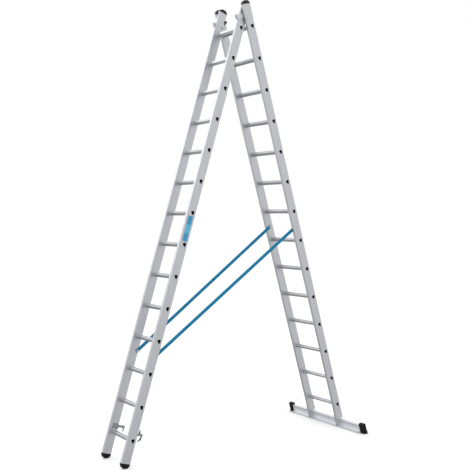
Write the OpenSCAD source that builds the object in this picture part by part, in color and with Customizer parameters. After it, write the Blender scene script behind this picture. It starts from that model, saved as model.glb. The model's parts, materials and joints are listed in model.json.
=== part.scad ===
// Two-section aluminium ladder standing as an A-frame.
// +Z is up, +Y runs along the rungs, the upper (inner) section's feet are on the -X side.
// The origin lies on the floor under the middle of the ladder's outline.

/* [Ladder] */
// Number of rungs in each section
rung_count = 14; // [4:1:16]
// Distance from one rung to the next along the stiles
rung_pitch = 280; // [240:1:330]
// Width over the stiles of the upper, inner section
inner_width = 376; // [320:1:440]
// Clearance on each side between the inner section and the stiles that it nests between
nest_gap = 5.25; // [5:0.25:8]

/* [Stance] */
// Lean of the inner section from upright, in degrees
inner_lean = 17.4; // [14:0.1:20]
// Lean of the outer section from upright, in degrees
outer_lean = 16.6; // [14:0.1:20]
// Distance between the two rung planes when the sections lie parallel
fold_offset = 60; // [57:1:70]

/* [Stiles] */
// Depth of a stile, front to back
stile_depth = 85; // [76:1:102]
// Width of a stile along the rungs
stile_width = 25; // [22:1:30]
// Wall of the stile extrusion
stile_wall = 2.5; // [2:0.1:3]
// Radius of the stile's edges
stile_round = 6; // [4:0.5:8]
// Distance of the rung axis from the stile's +X face
rung_set = 31.5; // [30:0.5:36]
// Length of stile above the hinge axis
top_reach = 130; // [116:1:150]
// Length of stile below the inner section's lowest rung
foot_reach = 191; // [150:1:230]

// Height of the domed caps on the stiles' tops
cap_rise = 33; // [20:1:38]

/* [Rungs] */
// Width of the tread
tread_width = 30; // [28:1:34]
// Height of the rung section
rung_height = 38; // [32:1:40]
// Wall of the rung extrusion
rung_wall = 1.8; // [1.5:0.1:2.5]
// Width of the flared collar around each rung joint
collar_width = 4.5; // [3:0.5:5]
// Height of the collar above the stile's face
collar_height = 1.2; // [0.8:0.1:1.8]

/* [Hinge] */
// Distance of the hinge axis above the inner section's top rung
inner_drop = 78; // [70:1:90]
// Distance of the hinge axis above the outer section's top rung
outer_drop = 60; // [55:1:70]
// Diameter of the hinge bolt
hinge_bolt_d = 10; // [8:0.5:12]
// Outer diameter of the hinge bush
hinge_bush_d = 16; // [15:0.5:18]
// Radial running clearance of the hinge bolt in its bush
hinge_play = 0.05; // [0.02:0.01:0.08]
// Thickness of the guide bracket's plate
guide_plate = 2.5; // [2:0.1:3]

/* [Straps] */
// Width of the webbing
strap_width = 32; // [24:1:34]
// Thickness of the webbing
strap_thick = 1.6; // [1.2:0.1:2]
// Distance of the lower strap anchors below the inner section's top rung
strap_low = 2922; // [2900:1:2950]
// Distance of the upper strap anchors below the outer section's top rung
strap_high = 1831; // [1800:1:1860]

/* [Hooks] */
// Thickness of the hook plates
hook_plate = 4; // [3:0.5:5]
// Room in front of and behind a rung that hangs in the hook
hook_room = 2; // [1:0.5:5]
// Height of the underside of the hook's arm above the rung axis
hook_rise = 44; // [42:1:50]
// Height of the hook's arm
hook_arm = 24; // [20:1:30]

/* [Stabiliser] */
// Overall length of the stabiliser
beam_length = 1112; // [1000:1:1300]
// Depth of the stabiliser's box tube
beam_depth = 27; // [25:1:32]
// Height of the stabiliser's box tube
beam_height = 66; // [60:1:80]
// Wall of the stabiliser's box tube
beam_wall = 3; // [2.5:0.1:4]
// Thickness of the toe flange along the tube's front
toe_thick = 4; // [3:0.5:5]
// Height of the toe flange's front edge above the floor
toe_clearance = 7; // [5:0.5:12]
// Length of the shoe over each end of the tube
shoe_length = 58; // [45:1:70]
// Wall of the shoe
shoe_wall = 2.4; // [2:0.1:3]

/* [Hidden] */
// Fit of parts that seat in each other without moving
seat = 0.3;
corner_steps = 6;
outer_width = inner_width + 2 * (nest_gap + stile_width);
rung_span = (rung_count - 1) * rung_pitch;

// Each section is drawn in its own frame: hinge axis at the origin, z up the stiles, x towards +X.
// The hinge axis lies as far inside the inner stile's back as inside the outer stile's front.
stile_lap = stile_depth - fold_offset;
inner_line = -(rung_set - stile_lap / 2);
outer_line = inner_line + fold_offset;
inner_back = inner_line + rung_set;
inner_front = inner_back - stile_depth;
outer_back = outer_line + rung_set;
outer_front = outer_back - stile_depth;
inner_low_rung = -inner_drop - rung_span;
outer_low_rung = -outer_drop - rung_span;
inner_end = inner_low_rung - foot_reach;

// Domed end plugs; the feet are half round and give the hinge its height
half_depth = stile_depth / 2;
plug_tenon = 30;
plug_edge = 7;
inner_mid = (inner_front + inner_back) / 2;
outer_mid = (outer_front + outer_back) / 2;
hinge_z = half_depth + inner_mid * sin(inner_lean) - inner_end * cos(inner_lean);

// The outer stiles end on the stabiliser, whose toe flange clears the floor
outer_end = (toe_clearance - hinge_z - outer_front * sin(outer_lean)) / cos(outer_lean) + beam_height;
beam_front = outer_front + 29.5;
beam_back = beam_front + beam_depth;
beam_foot = outer_end - beam_height;

// The origin is midway between the foremost foot and the rearmost shoe
shoe_flare = 4;
shoe_back = 4;
shoe_crown = 15;
foot_x = inner_mid * cos(inner_lean) + inner_end * sin(inner_lean) - half_depth;
sole_back = beam_back + shoe_wall + shoe_back + shoe_flare;
sole_u = (-hinge_z - sole_back * sin(outer_lean)) / cos(outer_lean);
sole_x = sole_back * cos(outer_lean) - sole_u * sin(outer_lean);
hinge_x = -(foot_x + sole_x) / 2;

inner_face = inner_width / 2;
inner_inside = inner_face - stile_width;
outer_inside = inner_face + nest_gap;
outer_face = outer_width / 2;

plug_depth = 14;
plug_lip = 0.8;
bolt_head_r = 9;
bolt_head_h = 2.4;
rivet_r = 2.4;
rivet_head_r = 4.2;
rivet_head_h = 1.2;

// Guide bracket that keeps the inner stiles between the outer ones
guide_low = 21.5;
guide_tall = 40;
guide_reach = inner_front - 1;
guide_lip = 21;
guide_lap = 26;

// Strap anchors in each section's frame, and the strap between them
strap_clear = 0.8;
washer_r = 11;
washer_h = 1.5;
strap_bolt_r = 3;
strap_hole_r = 3.3;
strap_tail = 14;
low_anchor = [inner_line + 20, -inner_drop - strap_low];
high_anchor = [outer_line - 11, -outer_drop - strap_high];
function turned(p, lean) = [p[0] * cos(lean) + p[1] * sin(lean), p[1] * cos(lean) - p[0] * sin(lean)];
low_xz = turned(low_anchor, inner_lean);
high_xz = turned(high_anchor, -outer_lean);
strap_mid_low = inner_inside - strap_clear - strap_thick / 2;
strap_mid_high = outer_inside - strap_clear - strap_thick / 2;
strap_run = high_xz - low_xz;
strap_slope = atan2(strap_run[1], strap_run[0]);
strap_flat = norm(strap_run);
strap_skew = atan2(strap_mid_high - strap_mid_low, strap_flat);
strap_length = norm([strap_flat, strap_mid_high - strap_mid_low]);

// Hook and latch, measured from the inner section's lowest rung
hook_finger = 14;
hook_tip = 8;
hook_rivets = [[-14, 58], [10, 58]];
hook_mouth = fold_offset + tread_width / 2 + hook_room;
latch_pivot = [hook_mouth - 7, hook_rise + 12];
latch_plate = 3;
latch_pin_r = 2.5;
latch_gap = 0.5;

// Blue blank plate in the place of a label
label_long = 222;
label_wide = 46;
label_thick = 0.6;
label_drop = 1821;
label_shift = -9;

// Glide block on the back edge of each inner stile
glide_low = 38;
glide_high = 73;
glide_out = 17;
glide_in = 9;
glide_wrap = 5;

// ---------- helpers ----------

// Points of an arc about a centre, from one angle to another
function arc(c, r, from, to, steps = corner_steps) =
    [for (i = [0 : steps]) let (a = from + (to - from) * i / steps) c + r * [cos(a), sin(a)]];

// Outline of a rectangle from corner a to corner b with rounded corners
function rounded(a, b, r) = concat(
    arc([b[0] - r, b[1] - r], r, 0, 90),
    arc([a[0] + r, b[1] - r], r, 90, 180),
    arc([a[0] + r, a[1] + r], r, 180, 270),
    arc([b[0] - r, a[1] + r], r, 270, 360));

// Outline of a rung: flat tread on top, sides drawn in to a narrow rounded keel, grown by e
function rung_outline(e = 0) = let (
        w = tread_width / 2 + e,
        top = rung_height * 0.42 + e,
        keel_r = 5 + e,
        keel_z = -rung_height * 0.58 + 5,
        shoulder_r = 4 + e,
        shoulder = [w - shoulder_r, top - shoulder_r],
        cheek_r = 9 + e,
        cheek = [w - cheek_r, 1]) concat(
    arc(shoulder, shoulder_r, 0, 90, 3),
    arc([-shoulder[0], shoulder[1]], shoulder_r, 90, 180, 3),
    arc([-cheek[0], cheek[1]], cheek_r, 180, 208, 2),
    arc([0, keel_z], keel_r, 208, 332, 6),
    arc([cheek[0], cheek[1]], cheek_r, 332, 360, 2));

module inner_frame() {
    translate([hinge_x, 0, hinge_z]) rotate([0, inner_lean, 0]) children();
}

module outer_frame() {
    translate([hinge_x, 0, hinge_z]) rotate([0, -outer_lean, 0]) children();
}

// Extrudes an x-z outline along y from one station to another
module along_y(from, to) {
    translate([0, to, 0]) rotate([90, 0, 0]) linear_extrude(height = to - from) children();
}

module near_and_far() {
    children();
    mirror([0, 1, 0]) children();
}

// Solid prism of the rung outline, its tread level at the inner section's lean
module rung_prism(line, z, from, to, e) {
    translate([line, 0, z]) rotate([0, -inner_lean, 0]) along_y(from, to) polygon(rung_outline(e));
}

module y_cylinder(x, z, from, to, r) {
    translate([x, to, z]) rotate([90, 0, 0]) cylinder(h = to - from, r = r, $fn = 48);
}

// ---------- stiles ----------

// Closed box extrusion between two heights, on the +Y side, pierced for the rungs
module stile(front, low, high, inside, line, drop) {
    difference() {
        translate([0, 0, low]) linear_extrude(height = high - low)
            polygon(rounded([front, inside], [front + stile_depth, inside + stile_width], stile_round));
        translate([0, 0, low - 1]) linear_extrude(height = high - low + 2)
            polygon(rounded([front + stile_wall, inside + stile_wall],
                [front + stile_depth - stile_wall, inside + stile_width - stile_wall],
                stile_round - stile_wall));
        for (i = [0 : rung_count - 1])
            rung_prism(line, -drop - i * rung_pitch, inside - 1, inside + stile_width + 1, seat / 2);
    }
}

module inner_stile() {
    difference() {
        stile(inner_front, inner_end, top_reach, inner_inside, inner_line, inner_drop);
        y_cylinder(0, 0, inner_inside - 1, inner_face + 1, hinge_bush_d / 2 + 0.1);
        for (z = [glide_low + 9, glide_high - 9])
            y_cylinder(inner_back - 12, z, inner_inside - 1, inner_inside + stile_wall + 1, rivet_r + 0.1);
        for (p = hook_rivets)
            y_cylinder(inner_line + p[0], inner_low_rung + p[1], inner_inside - 1,
                inner_inside + stile_wall + 1, rivet_r + 0.1);
        y_cylinder(low_anchor[0], low_anchor[1], inner_inside - 1, inner_face + 1, strap_bolt_r + 0.1);
    }
}

module outer_stile() {
    difference() {
        stile(outer_front, outer_end, top_reach, outer_inside, outer_line, outer_drop);
        y_cylinder(0, 0, outer_inside - 1, outer_face + 1, hinge_bolt_d / 2 + 0.1);
        for (z = [guide_low + 9, guide_low + guide_tall - 9])
            y_cylinder(outer_front + 14, z, outer_inside - 1, outer_inside + stile_wall + 1, rivet_r + 0.1);
        y_cylinder(high_anchor[0], high_anchor[1], outer_inside - 1, outer_face + 1, strap_bolt_r + 0.1);
        for (z = bracket_rivet_z)
            translate([outer_front - 1, outer_inside + stile_width / 2, z])
                rotate([0, 90, 0]) cylinder(h = stile_wall + 2, r = rivet_r + 0.1, $fn = 32);
    }
}

module inner_stile_near() {
    color("silver") inner_frame() mirror([0, 1, 0]) inner_stile();
}

module inner_stile_far() {
    color("silver") inner_frame() inner_stile();
}

module outer_stile_near() {
    color("silver") outer_frame() mirror([0, 1, 0]) outer_stile();
}

module outer_stile_far() {
    color("silver") outer_frame() outer_stile();
}

// ---------- rungs ----------

// Hollow rungs through both stiles, with fine tread ribs
module rungs(line, drop, face) {
    for (i = [0 : rung_count - 1])
        translate([line, 0, -drop - i * rung_pitch]) rotate([0, -inner_lean, 0]) along_y(-face, face)
            difference() {
                polygon(rung_outline());
                polygon(rung_outline(-rung_wall));
                for (k = [-3 : 3]) translate([k * 3.2 - 0.6, rung_height * 0.42 - 0.7]) square([1.2, 2]);
            }
}

// Flared collars on both faces of both stiles
module rung_collars(line, drop, inside, face) {
    near_and_far() for (i = [0 : rung_count - 1]) {
        collar(line, -drop - i * rung_pitch, face, face + collar_height);
        collar(line, -drop - i * rung_pitch, inside - collar_height, inside);
    }
}

module collar(line, z, from, to) {
    difference() {
        rung_prism(line, z, from, to, collar_width);
        rung_prism(line, z, from - 1, to + 1, seat / 2);
    }
}

// Plastic plugs in the rung ends, each with a lip over the rung's end face
module rung_plugs(line, drop, face) {
    near_and_far() for (i = [0 : rung_count - 1]) {
        rung_prism(line, -drop - i * rung_pitch, face - plug_depth, face + plug_lip / 2, -rung_wall - 0.1);
        rung_prism(line, -drop - i * rung_pitch, face, face + plug_lip, 0);
    }
}

module inner_rungs() {
    color("silver") inner_frame() rungs(inner_line, inner_drop, inner_face);
}

module outer_rungs() {
    color("silver") outer_frame() rungs(outer_line, outer_drop, outer_face);
}

module inner_rung_collars() {
    color("gainsboro") inner_frame() rung_collars(inner_line, inner_drop, inner_inside, inner_face);
}

module outer_rung_collars() {
    color("gainsboro") outer_frame() rung_collars(outer_line, outer_drop, outer_inside, outer_face);
}

module inner_rung_plugs() {
    color("black") inner_frame() rung_plugs(inner_line, inner_drop, inner_face);
}

module outer_rung_plugs() {
    color("black") outer_frame() rung_plugs(outer_line, outer_drop, outer_face);
}

// ---------- end plugs ----------

// Domed plug of a given rise pointing up from z = 0, centred on mid, over the stile from inside outwards
module end_plug(mid, inside, rise) {
    hw = stile_width / 2;
    dome_r = (half_depth * half_depth + rise * rise) / (2 * rise);
    translate([mid, inside + hw, 0]) {
        intersection() {
            along_y(-hw, hw) intersection() {
                translate([0, rise - dome_r]) circle(r = dome_r, $fn = 96);
                translate([-half_depth, 0]) square([2 * half_depth, rise]);
            }
            rotate([0, 0, 90]) along_y(-half_depth, half_depth)
                polygon(concat([[-hw, 0], [hw, 0]],
                    arc([hw - plug_edge, rise - plug_edge], plug_edge, 0, 90),
                    arc([plug_edge - hw, rise - plug_edge], plug_edge, 90, 180)));
        }
        tenon_x = half_depth - stile_wall - 4;
        tenon_y = hw - stile_wall - seat;
        translate([-tenon_x, -tenon_y, -plug_tenon]) cube([2 * tenon_x, 2 * tenon_y, plug_tenon + 1]);
    }
}

module inner_top_caps() {
    color("black") inner_frame() near_and_far()
        translate([0, 0, top_reach]) end_plug(inner_mid, inner_inside, cap_rise);
}

module outer_top_caps() {
    color("black") outer_frame() near_and_far()
        translate([0, 0, top_reach]) end_plug(outer_mid, outer_inside, cap_rise);
}

module inner_feet() {
    color("black") inner_frame() near_and_far()
        translate([0, 0, inner_end]) mirror([0, 0, 1]) end_plug(inner_mid, inner_inside, half_depth);
}

// ---------- hinge and guide ----------

// Plate against the outer stile's inner face, reaching round the front of the inner stile
module guide_bracket() {
    plate_y = outer_inside - guide_plate;
    difference() {
        translate([guide_reach - guide_plate, plate_y, guide_low])
            cube([outer_front + guide_lap - guide_reach + guide_plate, guide_plate, guide_tall]);
        for (z = [guide_low + 9, guide_low + guide_tall - 9])
            y_cylinder(outer_front + 14, z, plate_y - 1, outer_inside + 1, rivet_r + 0.1);
    }
    translate([guide_reach - guide_plate, outer_inside - guide_lip, guide_low])
        cube([guide_plate, guide_lip - guide_plate + 0.5, guide_tall]);
    translate([guide_reach - guide_plate - 9, outer_inside - guide_lip, guide_low])
        cube([9.5, guide_plate, guide_tall]);
}

module guide_bracket_near() {
    color("lightgrey") outer_frame() mirror([0, 1, 0]) guide_bracket();
}

module guide_bracket_far() {
    color("lightgrey") outer_frame() guide_bracket();
}

// Rivet along y with a flat head at the low end and a closed tail past the walls
module y_rivet(x, z, head_y, tail_y) {
    y_cylinder(x, z, head_y - rivet_head_h, head_y, rivet_head_r);
    y_cylinder(x, z, head_y - 0.5, tail_y, rivet_r);
    y_cylinder(x, z, tail_y, tail_y + rivet_head_h, rivet_head_r - 0.8);
}

module guide_rivets() {
    color("grey") outer_frame() near_and_far() for (z = [guide_low + 9, guide_low + guide_tall - 9])
        y_rivet(outer_front + 14, z, outer_inside - guide_plate, outer_inside + stile_wall);
}

// Bolts along the hinge axis, headed inside the ladder
module hinge_bolts() {
    color("grey") outer_frame() near_and_far() {
        y_cylinder(0, 0, inner_inside - 1.6 - bolt_head_h, inner_inside - 1.6, bolt_head_r);
        y_cylinder(0, 0, inner_inside - 2, outer_face + 4, hinge_bolt_d / 2);
    }
}

module hinge_nuts() {
    color("grey") outer_frame() near_and_far() difference() {
        y_cylinder(0, 0, outer_face, outer_face + 3, bolt_head_r);
        y_cylinder(0, 0, outer_face - 1, outer_face + 5, hinge_bolt_d / 2 + 0.1);
    }
}

// Flanged plastic bushes through the inner stiles
module hinge_bushes() {
    color("dimgrey") inner_frame() near_and_far() difference() {
        union() {
            y_cylinder(0, 0, inner_inside, inner_face, hinge_bush_d / 2);
            y_cylinder(0, 0, inner_inside - 1.3, inner_inside, hinge_bush_d / 2 + 2.5);
            y_cylinder(0, 0, inner_face, inner_face + 1.3, hinge_bush_d / 2 + 2.5);
        }
        y_cylinder(0, 0, inner_inside - 3, inner_face + 3, hinge_bolt_d / 2 + hinge_play);
    }
}

// Plastic block clipped over the inner stile's back edge, with a notched top
module glide_blocks() {
    mid_z = (glide_low + glide_high) / 2;
    lobe = 10;
    color("black") inner_frame() near_and_far() difference() {
        along_y(inner_inside - glide_wrap, inner_face + 1) polygon(concat(
            [[inner_back - glide_in, mid_z - 4], [inner_back + 5, glide_low]],
            arc([inner_back + glide_out - lobe, glide_high - lobe], lobe, -30, 130, 8),
            [[inner_back + 3, glide_high - 9]],
            arc([inner_back - glide_in + 6, glide_high - 8], 6, 50, 180, 6)));
        translate([inner_back - 30, inner_inside - seat, glide_low - 5])
            cube([30 + seat, stile_width + 2, glide_high - glide_low + 10]);
        for (z = [glide_low + 9, glide_high - 9])
            y_cylinder(inner_back - 12, z, inner_inside - 10, inner_inside, rivet_head_r + seat);
    }
}

module glide_rivets() {
    color("grey") inner_frame() near_and_far() for (z = [glide_low + 9, glide_high - 9])
        y_rivet(inner_back - 12, z, inner_inside, inner_inside + stile_wall);
}

// ---------- rung hooks ----------

// Hook plate on the inner face of the inner stile, drawn round the lowest rung's axis
module hook() {
    mouth = hook_mouth;
    tip_x = mouth + hook_finger;
    arm_top = hook_rise + hook_arm;
    inner_frame() translate([inner_line, 0, inner_low_rung])
        difference() {
            along_y(inner_inside - hook_plate, inner_inside) polygon(concat(
                [[-24, 28], [rung_set - 6, 28], [rung_set + 2, hook_rise - 4], [rung_set + 8, hook_rise]],
                arc([mouth - 6, hook_rise - 6], 6, 90, 0, 4),
                [[mouth + 2, hook_tip + 4]],
                arc([mouth + 6, hook_tip + 4], 4, 180, 300, 4),
                [[tip_x, hook_rise]],
                arc([tip_x - 8, arm_top - 10], 8, 0, 90, 5),
                [[rung_set, arm_top - 4], [rung_set - 8, 74]],
                arc([-18, 68], 6, 90, 180, 4)));
            for (p = hook_rivets) y_cylinder(p[0], p[1], inner_inside - 10, inner_inside + 5, rivet_r + 0.1);
            y_cylinder(latch_pivot[0], latch_pivot[1], inner_inside - 10, inner_inside + 5,
                latch_pin_r + 0.1);
        }
}

module hook_near() {
    color("dimgrey") mirror([0, 1, 0]) hook();
}

module hook_far() {
    color("dimgrey") hook();
}

module hook_rivets() {
    color("grey") inner_frame() translate([inner_line, 0, inner_low_rung]) near_and_far()
        for (p = hook_rivets) y_rivet(p[0], p[1], inner_inside - hook_plate, inner_inside + stile_wall);
}

// Curved pawl with a thumb spur, on the inboard side of the near hook
module hook_latch() {
    px = latch_pivot[0];
    pz = latch_pivot[1];
    y0 = inner_inside - hook_plate - latch_gap - latch_plate;
    bow = [px - 50, pz - 11];
    color("dimgrey") mirror([0, 1, 0]) inner_frame() translate([inner_line, 0, inner_low_rung])
        difference() {
            along_y(y0, y0 + latch_plate) polygon(concat(
                arc(bow, 67, -50, 12, 8),
                arc([px, pz], 9, 60, 95, 3),
                [[px - 9, pz + 41], [px - 15, pz + 41], [px - 18, pz + 5]],
                arc([px, pz], 9, 190, 300, 5),
                arc(bow, 57, 0, -52, 8)));
            y_cylinder(px, pz, y0 - 1, y0 + latch_plate + 1, latch_pin_r + hinge_play);
        }
}

// Pins through the hooks' arms; the near one carries the latch
module latch_pin() {
    px = latch_pivot[0];
    reach = hook_plate + latch_gap + latch_plate;
    color("grey") inner_frame() translate([inner_line, 0, inner_low_rung]) near_and_far() {
        y_cylinder(px, latch_pivot[1], inner_inside - reach - 1, inner_inside + 1, latch_pin_r);
        y_cylinder(px, latch_pivot[1], inner_inside - reach - 2.5, inner_inside - reach - 0.5, 4.5);
        y_cylinder(px, latch_pivot[1], inner_inside + 0.5, inner_inside + 2, 4);
    }
}

// ---------- straps ----------

module strap() {
    translate([hinge_x + low_xz[0], strap_mid_low, hinge_z + low_xz[1]]) rotate([0, -strap_slope, 0])
        rotate([0, 0, strap_skew]) difference() {
            translate([-strap_tail, -strap_thick / 2, -strap_width / 2])
                cube([strap_length + 2 * strap_tail, strap_thick, strap_width]);
            for (x = [0, strap_length])
                translate([x, 3, 0]) rotate([90, 0, 0]) cylinder(h = 6, r = strap_hole_r, $fn = 32);
        }
}

module strap_near() {
    color("steelblue") mirror([0, 1, 0]) strap();
}

module strap_far() {
    color("steelblue") strap();
}

// Flat-headed bolts with their washers, clamping the webbing to the stiles' inner faces
module strap_bolts(p, inside, face) {
    head = inside - strap_thick - 2 * strap_clear;
    near_and_far() {
        y_cylinder(p[0], p[1], head - washer_h, head, washer_r);
        y_cylinder(p[0], p[1], head - washer_h - 1.6, head - 0.5, 5.5);
        y_cylinder(p[0], p[1], head - 1, face + 2.6, strap_bolt_r);
    }
}

module strap_nuts(p, face) {
    near_and_far() difference() {
        y_cylinder(p[0], p[1], face, face + 1.8, 5);
        y_cylinder(p[0], p[1], face - 1, face + 4, strap_bolt_r + 0.1);
    }
}

module strap_bolts_inner() {
    color("grey") inner_frame() strap_bolts(low_anchor, inner_inside, inner_face);
}

module strap_nuts_inner() {
    color("grey") inner_frame() strap_nuts(low_anchor, inner_face);
}

module strap_bolts_outer() {
    color("grey") outer_frame() strap_bolts(high_anchor, outer_inside, outer_face);
}

module strap_nuts_outer() {
    color("grey") outer_frame() strap_nuts(high_anchor, outer_face);
}

module label_plate() {
    low = [inner_line + label_shift - label_wide / 2, -inner_drop - label_drop - label_long / 2];
    color("deepskyblue") inner_frame() mirror([0, 1, 0]) along_y(inner_face, inner_face + label_thick)
        polygon(rounded(low, low + [label_wide, label_long], 4));
}

// ---------- stabiliser ----------

beam_half = beam_length / 2 - shoe_wall - seat;
toe_half = beam_length / 2 - shoe_length - 2;
bracket_rivet_z = [outer_end + 20, outer_end + 48];
bolt_z = [outer_end - 20, outer_end - 48];

// Box tube with a toe flange along its front
module stabiliser_beam() {
    color("silver") outer_frame() difference() {
        union() {
            translate([beam_front, -beam_half, beam_foot]) cube([beam_depth, 2 * beam_half, beam_height]);
            translate([outer_front, -toe_half, beam_foot])
                cube([beam_front - outer_front + 1, 2 * toe_half, toe_thick]);
        }
        translate([beam_front + beam_wall, -beam_half - 1, beam_foot + beam_wall])
            cube([beam_depth - 2 * beam_wall, 2 * beam_half + 2, beam_height - 2 * beam_wall]);
        for (side = [-1, 1], z = bolt_z)
            translate([beam_front - 1, side * (outer_inside + stile_width / 2), z])
                rotate([0, 90, 0]) cylinder(h = beam_depth + 2, r = 4.2, $fn = 48);
    }
}

// Folded bracket: face plate up the stile's front, open box down to the toe flange
module stabiliser_bracket() {
    plate = 3;
    low = beam_foot + toe_thick;
    difference() {
        union() {
            translate([outer_front - plate, outer_inside, beam_foot])
                cube([plate, stile_width, outer_end + 62 - beam_foot]);
            translate([outer_front - 1, outer_inside, low])
                cube([beam_front - outer_front + 1, stile_width, outer_end - low]);
        }
        translate([outer_front, outer_inside + plate, low - 1])
            cube([beam_front - outer_front - plate, stile_width - 2 * plate, outer_end - low + 2]);
        for (z = bracket_rivet_z)
            translate([outer_front - 5, outer_inside + stile_width / 2, z])
                rotate([0, 90, 0]) cylinder(h = 8, r = rivet_r + 0.1, $fn = 32);
        for (z = bolt_z)
            translate([outer_front - 5, outer_inside + stile_width / 2, z])
                rotate([0, 90, 0]) cylinder(h = beam_front - outer_front + 10, r = 4.2, $fn = 48);
    }
}

module stabiliser_bracket_near() {
    color("lightgrey") outer_frame() mirror([0, 1, 0]) stabiliser_bracket();
}

module stabiliser_bracket_far() {
    color("lightgrey") outer_frame() stabiliser_bracket();
}

module bracket_rivets() {
    color("grey") outer_frame() near_and_far() for (z = bracket_rivet_z)
        translate([outer_front - 3, outer_inside + stile_width / 2, z]) rotate([0, 90, 0]) {
            translate([0, 0, -rivet_head_h]) cylinder(h = rivet_head_h, r = rivet_head_r, $fn = 32);
            translate([0, 0, -0.5]) cylinder(h = stile_wall + 3.5, r = rivet_r, $fn = 32);
            translate([0, 0, stile_wall + 3]) cylinder(h = rivet_head_h, r = rivet_head_r - 0.8, $fn = 32);
        }
}

// Bolts through bracket and tube, headed in front, nutted behind
module stabiliser_bolts() {
    color("grey") outer_frame() near_and_far() for (z = bolt_z)
        translate([outer_front - 3, outer_inside + stile_width / 2, z]) rotate([0, 90, 0]) {
            translate([0, 0, -3]) cylinder(h = 3, r = 7, $fn = 48);
            translate([0, 0, -1]) cylinder(h = beam_back - outer_front + 12, r = 4, $fn = 48);
        }
}

module stabiliser_nuts() {
    color("grey") outer_frame() near_and_far() for (z = bolt_z)
        translate([beam_back, outer_inside + stile_width / 2, z]) rotate([0, 90, 0]) difference() {
            cylinder(h = 6.5, r = 7.5, $fn = 6);
            translate([0, 0, -1]) cylinder(h = 9, r = 4.1, $fn = 48);
        }
}

// Plastic shoe over the tube's far end, cut off level at the floor with a flared sole
module shoe() {
    tip = beam_length / 2;
    root = tip - shoe_length;
    sole_tall = 14;
    front = beam_front - shoe_wall;
    deep = beam_depth + 2 * shoe_wall + shoe_back;
    intersection() {
        outer_frame() difference() {
            union() {
                along_y(root, tip) polygon(rounded([front, beam_foot - 60],
                    [front + deep, outer_end + shoe_crown], 5));
                translate([front - shoe_flare, root + 6, -hinge_z / cos(outer_lean) - 20])
                    cube([deep + 2 * shoe_flare, shoe_length - 6, sole_tall + 20]);
            }
            translate([beam_front - seat, root - 1, beam_foot - seat])
                cube([beam_depth + 2 * seat, shoe_length - shoe_wall + 1, beam_height + 2 * seat]);
        }
        translate([-3 * beam_length, root - 1, 0]) cube([6 * beam_length, shoe_length + 2, 4 * beam_height]);
    }
}

module stabiliser_shoe_near() {
    color("black") mirror([0, 1, 0]) shoe();
}

module stabiliser_shoe_far() {
    color("black") shoe();
}

inner_stile_near();
inner_stile_far();
inner_rungs();
inner_rung_collars();
inner_rung_plugs();
inner_top_caps();
inner_feet();
outer_stile_near();
outer_stile_far();
outer_rungs();
outer_rung_collars();
outer_rung_plugs();
outer_top_caps();
guide_bracket_near();
guide_bracket_far();
guide_rivets();
hinge_bolts();
hinge_nuts();
hinge_bushes();
glide_blocks();
glide_rivets();
hook_near();
hook_far();
hook_rivets();
hook_latch();
latch_pin();
strap_near();
strap_far();
strap_bolts_inner();
strap_nuts_inner();
strap_bolts_outer();
strap_nuts_outer();
label_plate();
stabiliser_beam();
stabiliser_bracket_near();
stabiliser_bracket_far();
stabiliser_bolts();
stabiliser_nuts();
bracket_rivets();
stabiliser_shoe_near();
stabiliser_shoe_far();
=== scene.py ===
"""Two-section aluminium ladder standing as an A-frame, in a pale studio."""
import json
import math

import bmesh
import bpy
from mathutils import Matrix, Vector


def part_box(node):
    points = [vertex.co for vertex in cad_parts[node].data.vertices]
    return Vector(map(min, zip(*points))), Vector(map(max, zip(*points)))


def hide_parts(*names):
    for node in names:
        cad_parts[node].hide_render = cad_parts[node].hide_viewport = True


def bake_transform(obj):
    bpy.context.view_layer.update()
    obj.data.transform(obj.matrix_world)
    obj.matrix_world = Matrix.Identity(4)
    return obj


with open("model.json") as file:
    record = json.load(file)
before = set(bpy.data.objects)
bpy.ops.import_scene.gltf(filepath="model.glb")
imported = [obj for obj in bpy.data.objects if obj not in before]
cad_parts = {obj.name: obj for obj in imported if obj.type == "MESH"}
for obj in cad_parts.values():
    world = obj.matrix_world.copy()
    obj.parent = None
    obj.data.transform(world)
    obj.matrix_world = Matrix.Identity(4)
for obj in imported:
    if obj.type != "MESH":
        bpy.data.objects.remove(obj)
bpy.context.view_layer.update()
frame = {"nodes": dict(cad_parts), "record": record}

RECORD = frame["record"]
SECTION_HINGE = next(j for j in RECORD["behaviour"]["joints"] if j["name"] == "section_hinge")
HINGE = Vector(SECTION_HINGE["pos_m"])


def middle(node):
    low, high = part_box(node)
    return (Vector(low) + Vector(high)) / 2


# How far each section leans from upright
INNER_LEAN = math.radians(17.4)
OUTER_LEAN = math.radians(16.6)

# ---------------------------------------------------------------- camera
CAMERA_FROM_HINGE = Vector((-4.1206, -5.9174, -1.6968))
CAMERA_YAW = 0.6117
CAMERA_PITCH = -0.0734
SENSOR, LENS = 36, 60.88
SHIFT_X, SHIFT_Y = -0.0011, 0.0835
camera_data = bpy.data.cameras.new("camera")
camera = bpy.data.objects.new("camera", camera_data)
bpy.context.scene.collection.objects.link(camera)
camera.location = HINGE + CAMERA_FROM_HINGE
camera.rotation_euler = (math.pi / 2 + CAMERA_PITCH, 0, -CAMERA_YAW)
camera_data.sensor_width = SENSOR
camera_data.lens = LENS
camera_data.shift_x = SHIFT_X
camera_data.shift_y = SHIFT_Y
camera_data.clip_end = 100
bpy.context.scene.camera = camera


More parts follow.
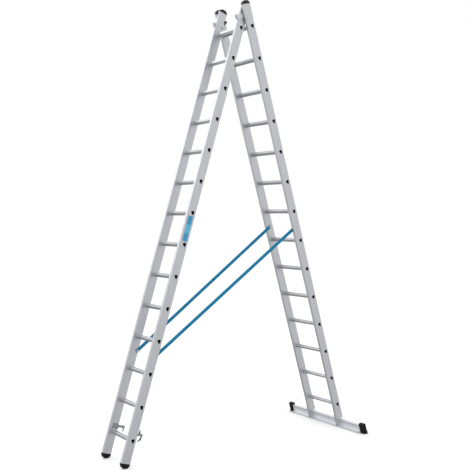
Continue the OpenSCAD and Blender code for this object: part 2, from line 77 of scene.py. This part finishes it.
# ---------------------------------------------------------------- node helpers
class Nodes:
    """A small builder for node materials."""

    def __init__(self, name):
        self.mat = bpy.data.materials.new(name)
        self.mat.use_nodes = True
        self.tree = self.mat.node_tree
        self.tree.nodes.clear()
        self.out = self.tree.nodes.new("ShaderNodeOutputMaterial")
        self.shader = self.tree.nodes.new("ShaderNodeBsdfPrincipled")
        self.link(self.shader.outputs["BSDF"], self.out.inputs["Surface"])

    def link(self, a, b):
        self.tree.links.new(a, b)

    def set(self, **values):
        for key, value in values.items():
            self.shader.inputs[key.replace("_", " ")].default_value = value

    def coords(self, turn=(0, 0, 0), scale=(1, 1, 1)):
        tc = self.tree.nodes.new("ShaderNodeTexCoord")
        mp = self.tree.nodes.new("ShaderNodeMapping")
        mp.inputs["Rotation"].default_value = turn
        mp.inputs["Scale"].default_value = scale
        self.link(tc.outputs["Object"], mp.inputs["Vector"])
        return mp.outputs["Vector"]

    def noise(self, vector, scale, detail=3.0, rough=0.5, distort=0.0):
        n = self.tree.nodes.new("ShaderNodeTexNoise")
        n.inputs["Scale"].default_value = scale
        n.inputs["Detail"].default_value = detail
        n.inputs["Roughness"].default_value = rough
        n.inputs["Distortion"].default_value = distort
        self.link(vector, n.inputs["Vector"])
        return n.outputs["Fac"]

    def wave(self, vector, scale, direction="X", profile="SIN", distort=0.0):
        n = self.tree.nodes.new("ShaderNodeTexWave")
        n.bands_direction = direction
        n.wave_profile = profile
        n.inputs["Scale"].default_value = scale
        n.inputs["Distortion"].default_value = distort
        self.link(vector, n.inputs["Vector"])
        return n.outputs["Fac"]

    def voronoi(self, vector, scale):
        n = self.tree.nodes.new("ShaderNodeTexVoronoi")
        n.inputs["Scale"].default_value = scale
        self.link(vector, n.inputs["Vector"])
        return n.outputs["Distance"]

    def ramp(self, fac, stops):
        n = self.tree.nodes.new("ShaderNodeValToRGB")
        n.color_ramp.elements[0].position = stops[0][0]
        n.color_ramp.elements[1].position = stops[-1][0]
        for position, _ in stops[1:-1]:
            n.color_ramp.elements.new(position)
        for element, (_, tone) in zip(n.color_ramp.elements, stops):
            rgb = (tone, tone, tone) if isinstance(tone, (int, float)) else tone
            element.color = (*rgb, 1)
        self.link(fac, n.inputs["Fac"])
        return n.outputs["Color"]

    def mix(self, fac, a, b, blend="MIX"):
        n = self.tree.nodes.new("ShaderNodeMix")
        n.data_type = "RGBA"
        n.blend_type = blend
        for value, socket in ((fac, n.inputs[0]), (a, n.inputs[6]), (b, n.inputs[7])):
            if isinstance(value, bpy.types.NodeSocket):
                self.link(value, socket)
            elif isinstance(value, (int, float)):
                socket.default_value = value
            else:
                socket.default_value = (*value, 1)
        return n.outputs[2]

    def math(self, kind, a, b=0.0):
        n = self.tree.nodes.new("ShaderNodeMath")
        n.operation = kind
        for value, socket in ((a, n.inputs[0]), (b, n.inputs[1])):
            if isinstance(value, bpy.types.NodeSocket):
                self.link(value, socket)
            else:
                socket.default_value = value
        return n.outputs[0]

    def remap(self, fac, low, high):
        n = self.tree.nodes.new("ShaderNodeMapRange")
        n.inputs["To Min"].default_value = low
        n.inputs["To Max"].default_value = high
        self.link(fac, n.inputs["Value"])
        return n.outputs["Result"]

    def bump(self, height, strength, distance, below=None):
        n = self.tree.nodes.new("ShaderNodeBump")
        n.inputs["Strength"].default_value = strength
        n.inputs["Distance"].default_value = distance
        self.link(height, n.inputs["Height"])
        if below is not None:
            self.link(below, n.inputs["Normal"])
        return n.outputs["Normal"]

    def use(self, **sockets):
        for key, socket in sockets.items():
            self.link(socket, self.shader.inputs[key.replace("_", " ")])


# ---------------------------------------------------------------- materials
# Mill-finish extrusion: die lines along the length, cloudy tone, soft scuffs
def aluminium(name, turn, along, tone=0.57, rough=0.38, metal=0.88):
    tint = (0.975, 0.985, 1.035)
    m = Nodes(name)
    m.set(Metallic=metal, IOR=1.45)
    stretch = [160.0, 160.0, 160.0]
    stretch[along] = 1.6
    lines = m.noise(m.coords(turn, stretch), 1.0, 4.0, 0.62)
    stretch_wide = [28.0, 28.0, 28.0]
    stretch_wide[along] = 0.9
    bands = m.noise(m.coords(turn, stretch_wide), 1.0, 2.0, 0.5)
    cloud = m.noise(m.coords(turn), 2.6, 4.0, 0.6)
    scuff = m.noise(m.coords(turn, (1.0, 1.0, 1.0)), 38.0, 5.0, 0.7)
    dark = tuple(tone * 0.93 * t for t in tint)
    light = tuple(tone * 1.06 * t for t in tint)
    colour = m.mix(m.remap(lines, -0.1, 1.1), dark, light)
    colour = m.mix(0.55, colour, m.ramp(bands, [(0.3, tuple(tone * 0.95 * t for t in tint)),
                                               (0.7, tuple(tone * 1.04 * t for t in tint))]))
    colour = m.mix(m.remap(cloud, 0.0, 0.3), colour, tuple(tone * 0.88 * t for t in tint))
    level = m.math("ADD", m.remap(lines, rough - 0.06, rough + 0.06), m.remap(scuff, -0.05, 0.05))
    fine = m.bump(lines, 0.16, 0.0004)
    m.use(Base_Color=colour, Roughness=level, Normal=m.bump(scuff, 0.05, 0.0006, fine))
    return m.mat


def zinc(name, tone=0.5, rough=0.34):
    m = Nodes(name)
    m.set(Metallic=0.95)
    grain = m.noise(m.coords(), 420.0, 3.0, 0.6)
    spangle = m.voronoi(m.coords(), 190.0)
    colour = m.mix(m.remap(spangle, 0.0, 0.7), (tone * 0.9, tone * 0.91, tone * 0.94),
                   (tone * 1.08, tone * 1.08, tone * 1.1))
    m.use(Base_Color=colour, Roughness=m.remap(grain, rough - 0.08, rough + 0.1),
          Normal=m.bump(grain, 0.12, 0.0004))
    return m.mat


def dark_steel(name):
    m = Nodes(name)
    m.set(Metallic=0.8)
    grain = m.noise(m.coords(), 300.0, 4.0, 0.65)
    patch = m.noise(m.coords(), 36.0, 3.0, 0.6)
    colour = m.mix(patch, (0.075, 0.078, 0.082), (0.15, 0.152, 0.156))
    m.use(Base_Color=colour, Roughness=m.remap(grain, 0.42, 0.62), Normal=m.bump(grain, 0.2, 0.0005))
    return m.mat


# Moulded plastic or rubber: fine spark-eroded grain, a little dust in loose random patches
def moulded(name, tone, rough, dust=0.5, sheen=0.24):
    m = Nodes(name)
    m.set(Specular_IOR_Level=sheen)
    grain = m.noise(m.coords(), 900.0, 2.0, 0.6)
    patch = m.noise(m.coords(), 22.0, 4.0, 0.65)
    dusty = tuple(t + 0.008 * dust for t in tone)
    m.use(Base_Color=m.mix(patch, tone, dusty), Roughness=m.remap(grain, rough - 0.07, rough + 0.08),
          Normal=m.bump(grain, 0.25, 0.0004))
    return m.mat


# Woven polyester webbing, its ribs running across the strap; the vector's X runs along the strap
def webbing(name, turn, tone):
    m = Nodes(name)
    m.set(Specular_IOR_Level=0.12, Sheen_Weight=0.08, Sheen_Roughness=0.5)
    vector = m.coords(turn)
    ribs = m.wave(vector, 175.0, "X")
    warp = m.wave(vector, 230.0, "Z")
    weave = m.math("MULTIPLY", ribs, m.remap(warp, 0.55, 1.0))
    fuzz = m.noise(vector, 60.0, 4.0, 0.6)
    colour = m.mix(weave, tuple(t * 0.55 for t in tone), tuple(t * 1.15 for t in tone))
    colour = m.mix(m.remap(fuzz, 0.0, 0.25), colour, tuple(min(1, t * 1.4) for t in tone))
    m.use(Base_Color=colour, Roughness=m.remap(fuzz, 0.62, 0.82), Normal=m.bump(weave, 0.6, 0.0006))
    return m.mat


def thread(name, tone):
    m = Nodes(name)
    m.set(Specular_IOR_Level=0.35, Sheen_Weight=0.3)
    ply = m.wave(m.coords((0.3, 0.4, 0.2)), 900.0, "X")
    m.use(Base_Color=m.mix(ply, tuple(t * 0.7 for t in tone), tone), Roughness=m.remap(ply, 0.5, 0.7),
          Normal=m.bump(ply, 0.4, 0.0003))
    return m.mat


# Blank film in two plain tones of blue, divided by a level band
def film(name, turn, centre):
    m = Nodes(name)
    m.set(Specular_IOR_Level=0.3, Coat_Weight=0.12, Coat_Roughness=0.2)
    tc = m.tree.nodes.new("ShaderNodeTexCoord")
    shift = m.tree.nodes.new("ShaderNodeVectorMath")
    shift.operation = "SUBTRACT"
    shift.inputs[1].default_value = centre
    m.link(tc.outputs["Object"], shift.inputs[0])
    mp = m.tree.nodes.new("ShaderNodeMapping")
    mp.inputs["Rotation"].default_value = turn
    m.link(shift.outputs[0], mp.inputs["Vector"])
    parts = m.tree.nodes.new("ShaderNodeSeparateXYZ")
    m.link(mp.outputs["Vector"], parts.inputs[0])
    band = m.ramp(m.math("ADD", m.math("MULTIPLY", parts.outputs["Z"], 4.2), 0.5),
                  [(0.0, 0.0), (0.30, 0.0), (0.34, 1.0), (0.62, 1.0), (0.66, 0.0), (1.0, 0.0)])
    print_grain = m.noise(mp.outputs["Vector"], 240.0, 3.0, 0.5)
    colour = m.mix(band, (0.018, 0.27, 0.52), (0.07, 0.45, 0.68))
    colour = m.mix(m.remap(print_grain, 0.0, 0.12), colour, (0.5, 0.75, 0.85))
    m.use(Base_Color=colour, Roughness=m.remap(print_grain, 0.28, 0.4))
    return m.mat


TURN_INNER = (0, -INNER_LEAN, 0)
TURN_OUTER = (0, OUTER_LEAN, 0)
ALONG_Y, ALONG_Z = 1, 2
alu_inner = aluminium("alu_stile_inner", TURN_INNER, ALONG_Z)
alu_outer = aluminium("alu_stile_outer", TURN_OUTER, ALONG_Z)
alu_rung = aluminium("alu_rung", (0, 0, 0), ALONG_Y, tone=0.62, rough=0.34)
alu_beam = aluminium("alu_beam", TURN_OUTER, ALONG_Y, tone=0.78, rough=0.4, metal=0.72)
alu_collar = aluminium("alu_collar", (0, 0, 0), ALONG_Y, tone=0.66, rough=0.3)
alu_plate = aluminium("alu_plate", TURN_OUTER, ALONG_Z, tone=0.66, rough=0.38)
zinc_hook = zinc("zinc_hook", 0.3, 0.42)
zinc_fastener = zinc("zinc_fastener", 0.5, 0.3)
steel_hook = dark_steel("steel_hook")
black_cap = moulded("black_cap", (0.0035, 0.0036, 0.0032), 0.3, 0.4, 0.4)
# Rung plugs: black plastic, made still darker and duller as painted shade for the shadowed hollows of the
# open rung ends
plug_black_painted_shade = moulded("plug_black_painted_shade", (0.0012, 0.0012, 0.0011), 0.5, 0.1, 0.06)
rubber_foot = moulded("rubber_foot", (0.0042, 0.0044, 0.0034), 0.6, 0.6, 0.16)
bush_grey = moulded("bush_grey", (0.05, 0.05, 0.053), 0.4)
label_film = film("label_film", TURN_INNER, tuple(middle("label_plate")))

LOOKS = {
    "inner_stile_near": alu_inner, "inner_stile_far": alu_inner,
    "outer_stile_near": alu_outer, "outer_stile_far": alu_outer,
    "inner_rungs": alu_rung, "outer_rungs": alu_rung,
    "inner_rung_collars": alu_collar, "outer_rung_collars": alu_collar,
    "inner_rung_plugs": plug_black_painted_shade, "outer_rung_plugs": plug_black_painted_shade,
    "inner_top_caps": black_cap, "outer_top_caps": black_cap, "inner_feet": rubber_foot,
    "guide_bracket_near": alu_plate, "guide_bracket_far": alu_plate, "guide_rivets": zinc_fastener,
    "hinge_bolts": zinc_fastener, "hinge_nuts": zinc_fastener, "hinge_bushes": bush_grey,
    # the glide pads take the black cap plastic and also sit as a painted shadow in the shaded gap between
    # the stiles under the guide bracket
    "glide_blocks": black_cap, "glide_rivets": zinc_fastener,
    "hook_near": zinc_hook, "hook_far": zinc_hook, "hook_latch": steel_hook,
    "hook_rivets": zinc_fastener, "latch_pin": zinc_fastener,
    "strap_bolts_inner": zinc_fastener, "strap_nuts_inner": zinc_fastener,
    "strap_bolts_outer": zinc_fastener, "strap_nuts_outer": zinc_fastener,
    "label_plate": label_film, "stabiliser_beam": alu_beam,
    "stabiliser_bracket_near": alu_plate, "stabiliser_bracket_far": alu_plate,
    "stabiliser_bolts": zinc_fastener, "stabiliser_nuts": zinc_fastener, "bracket_rivets": zinc_fastener,
    "stabiliser_shoe_near": rubber_foot, "stabiliser_shoe_far": rubber_foot,
}
for node, look in LOOKS.items():
    obj = frame["nodes"][node]
    for slot in obj.material_slots:
        slot.material = look


# ---------------------------------------------------------------- straps
STRAP_WIDE, STRAP_THICK = 0.0318, 0.0015
END_REACH = 0.014
DOUBLED = 0.085
STEP = 0.012
STITCH_LONG, STITCH_R = 0.0034, 0.00045
# The folded tails start past the washer, lie a thickness inboard and carry the seam near their edges
TAIL_START = 0.0155
TAIL_OFF = 0.98
STITCH_OFF = 1.48
SEAM_EDGE = 0.0035


# Webbing from bolt to bolt: a flat band with rolled edges, its ends folded over and sewn down
def strap(side, name):
    sign = -1 if side == "near" else 1
    low_bolt = middle("strap_bolts_inner")
    high_bolt = middle("strap_bolts_outer")
    low_box, high_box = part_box(f"strap_{side}")
    y_low, y_high = (low_box[1], high_box[1]) if sign > 0 else (high_box[1], low_box[1])
    # the band's middle plane at each end, half a thickness in from the CAD solid's own faces
    half_t = STRAP_THICK / 2
    a = Vector((low_bolt.x, y_low + sign * (half_t + 0.0002), low_bolt.z))
    b = Vector((high_bolt.x, y_high - sign * (half_t + 0.0002), high_bolt.z))
    run = b - a
    length = run.length
    e1 = run.normalized()
    e2 = Vector((0, sign, 0))
    e2 = (e2 - e2.dot(e1) * e1).normalized()
    e3 = e1.cross(e2).normalized()
    me = bpy.data.meshes.new(name)
    bm = bmesh.new()

    # outline across the band: flat faces with a rolled selvedge
    def section(thick, wide):
        pts = []
        for k in range(9):
            t = math.pi * (k / 8) - math.pi / 2
            pts.append((wide / 2 - thick / 2 + math.cos(t) * thick / 2, math.sin(t) * thick / 2))
        return pts + [(-x, -y) for x, y in pts]

    def sweep(stations, shape, material):
        rings = []
        for s, off, width in stations:
            base = a + e1 * s + e2 * off
            rings.append([bm.verts.new(base + e3 * (x * width) + e2 * y) for x, y in shape])
        for r0, r1 in zip(rings, rings[1:]):
            for i in range(len(shape)):
                j = (i + 1) % len(shape)
                f = bm.faces.new((r0[i], r0[j], r1[j], r1[i]))
                f.material_index = material
                f.smooth = True
        for ring, flip in ((rings[0], True), (rings[-1], False)):
            f = bm.faces.new(list(reversed(ring)) if not flip else ring)
            f.material_index = material

    shape = section(STRAP_THICK, STRAP_WIDE)
    count = int((length + 2 * END_REACH) / STEP)
    stations = []
    for i in range(count + 1):
        s = -END_REACH + (length + 2 * END_REACH) * i / count
        stations.append((s, 0.0, 1.0))
    sweep(stations, shape, 0)
    # folded-back tails on the inboard side, just clear of the washers
    for start, way in ((TAIL_START, 1), (length - TAIL_START, -1)):
        tail = []
        n = 8
        for i in range(n + 1):
            s = start + way * DOUBLED * i / n
            pinch = 0.96 if i in (0, n) else 1.0
            tail.append((s, -(STRAP_THICK * TAIL_OFF), pinch))
        sweep(tail, section(STRAP_THICK, STRAP_WIDE * 0.97), 0)
        # a sewn box with its diagonals, standing just proud of the tail
        inset = 0.006
        s0, s1 = start + way * inset, start + way * (DOUBLED - inset)
        w = STRAP_WIDE / 2 - SEAM_EDGE
        for (p, q) in (((s0, -w), (s1, -w)), ((s0, w), (s1, w)), ((s0, -w), (s0, w)), ((s1, -w), (s1, w)),
                       ((s0, -w), (s1, w)), ((s0, w), (s1, -w))):
            seg = math.hypot(q[0] - p[0], q[1] - p[1])
            n = max(2, int(seg / (STITCH_LONG * 1.5)))
            for i in range(n):
                t = (i + 0.5) / n
                s, z = p[0] + (q[0] - p[0]) * t, p[1] + (q[1] - p[1]) * t
                d = (e1 * (q[0] - p[0]) + e3 * (q[1] - p[1])).normalized()
                c = a + e1 * s + e3 * z - e2 * (STRAP_THICK * STITCH_OFF)
                side_v = d.cross(e2).normalized()
                ring0 = []
                for along, r in ((-0.5, 0.35), (-0.3, 1.0), (0.3, 1.0), (0.5, 0.35)):
                    ring0.append([bm.verts.new(c + d * (along * STITCH_LONG)
                                               + side_v * math.cos(g) * STITCH_R * r
                                               + e2 * math.sin(g) * STITCH_R * r)
                                  for g in [math.tau * h / 6 for h in range(6)]])
                for r0, r1 in zip(ring0, ring0[1:]):
                    for h in range(6):
                        f = bm.faces.new((r0[h], r0[(h + 1) % 6], r1[(h + 1) % 6], r1[h]))
                        f.material_index = 1
                        f.smooth = True
                for ring, flip in ((ring0[0], True), (ring0[-1], False)):
                    f = bm.faces.new(ring if flip else list(reversed(ring)))
                    f.material_index = 1
    bmesh.ops.recalc_face_normals(bm, faces=bm.faces)
    bm.to_mesh(me)
    bm.free()
    obj = bpy.data.objects.new(name, me)
    bpy.context.scene.collection.objects.link(obj)
    slope = math.atan2(e1.z, e1.x)
    me.materials.append(webbing(f"webbing_{side}", (0, slope, 0), (0.010, 0.25, 0.47)))
    me.materials.append(thread(f"thread_{side}", (0.08, 0.36, 0.58)))
    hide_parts(f"strap_{side}")
    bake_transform(obj)


for side in ("near", "far"):
    strap(side, f"webbing_strap_{side}")

# ---------------------------------------------------------------- studio
floor_mesh = bpy.data.meshes.new("studio_floor")
bm = bmesh.new()
bmesh.ops.create_grid(bm, x_segments=1, y_segments=1, size=40)
bm.to_mesh(floor_mesh)
bm.free()
floor = bpy.data.objects.new("studio_floor", floor_mesh)
bpy.context.scene.collection.objects.link(floor)
floor_look = Nodes("studio_floor")
floor_look.set(Roughness=0.9, Specular_IOR_Level=0.1)
floor_look.use(Base_Color=floor_look.mix(floor_look.noise(floor_look.coords(), 0.4), (0.9, 0.9, 0.9),
                                         (0.93, 0.93, 0.93)))
floor_mesh.materials.append(floor_look.mat)
# the metal mirrors the studio round it, not the floor, so the undersides stay dark
floor.visible_glossy = False
floor.visible_diffuse = False

# Studio light by elevation, as (sine of the elevation, level), under a white backdrop
SKY = [(-1.0, 0.12), (-0.72, 0.34), (-0.5, 0.44), (-0.29, 0.88),
       (0.0, 0.98), (0.29, 1.08), (1.0, 1.2)]
SKY_TOP = 1.25
scene = bpy.context.scene
world = bpy.data.worlds.new("studio")
scene.world = world
world.use_nodes = True
sky = world.node_tree
sky.nodes.clear()
direction = sky.nodes.new("ShaderNodeTexCoord")
split = sky.nodes.new("ShaderNodeSeparateXYZ")
sky.links.new(direction.outputs["Generated"], split.inputs[0])
height = sky.nodes.new("ShaderNodeMapRange")
height.inputs["From Min"].default_value = -1.0
sky.links.new(split.outputs["Z"], height.inputs["Value"])
ramp = sky.nodes.new("ShaderNodeValToRGB")
ramp.color_ramp.elements[0].position = 0.0
ramp.color_ramp.elements[1].position = 1.0
for sine, _ in SKY[1:-1]:
    ramp.color_ramp.elements.new((sine + 1) / 2)
for element, (_, tone) in zip(ramp.color_ramp.elements, SKY):
    element.color = (tone / SKY_TOP, tone / SKY_TOP, tone / SKY_TOP, 1)
sky.links.new(height.outputs["Result"], ramp.inputs["Fac"])
studio = sky.nodes.new("ShaderNodeBackground")
studio.inputs["Strength"].default_value = SKY_TOP
sky.links.new(ramp.outputs["Color"], studio.inputs["Color"])
backdrop = sky.nodes.new("ShaderNodeBackground")
backdrop.inputs["Color"].default_value = (1, 1, 1, 1)
backdrop.inputs["Strength"].default_value = 1.0
rays = sky.nodes.new("ShaderNodeLightPath")
choose = sky.nodes.new("ShaderNodeMixShader")
sky.links.new(rays.outputs["Is Camera Ray"], choose.inputs[0])
sky.links.new(studio.outputs[0], choose.inputs[1])
sky.links.new(backdrop.outputs[0], choose.inputs[2])
world_out = sky.nodes.new("ShaderNodeOutputWorld")
sky.links.new(choose.outputs[0], world_out.inputs["Surface"])


def soft_light(name, place, aim, size, power):
    data = bpy.data.lights.new(name, "AREA")
    data.shape = "RECTANGLE"
    data.size, data.size_y = size
    data.energy = power
    obj = bpy.data.objects.new(name, data)
    scene.collection.objects.link(obj)
    obj.location = place
    obj.rotation_euler = (Vector(aim) - Vector(place)).to_track_quat("-Z", "Y").to_euler()


soft_light("key", (-8.0, -2.5, 7.0), (0, 0, 1.5), (2.2, 2.2), 130)
soft_light("back", (-4.0, 6.0, 6.0), (0, 0, 1.5), (5.0, 5.0), 90)
scene.view_settings.view_transform = "Standard"
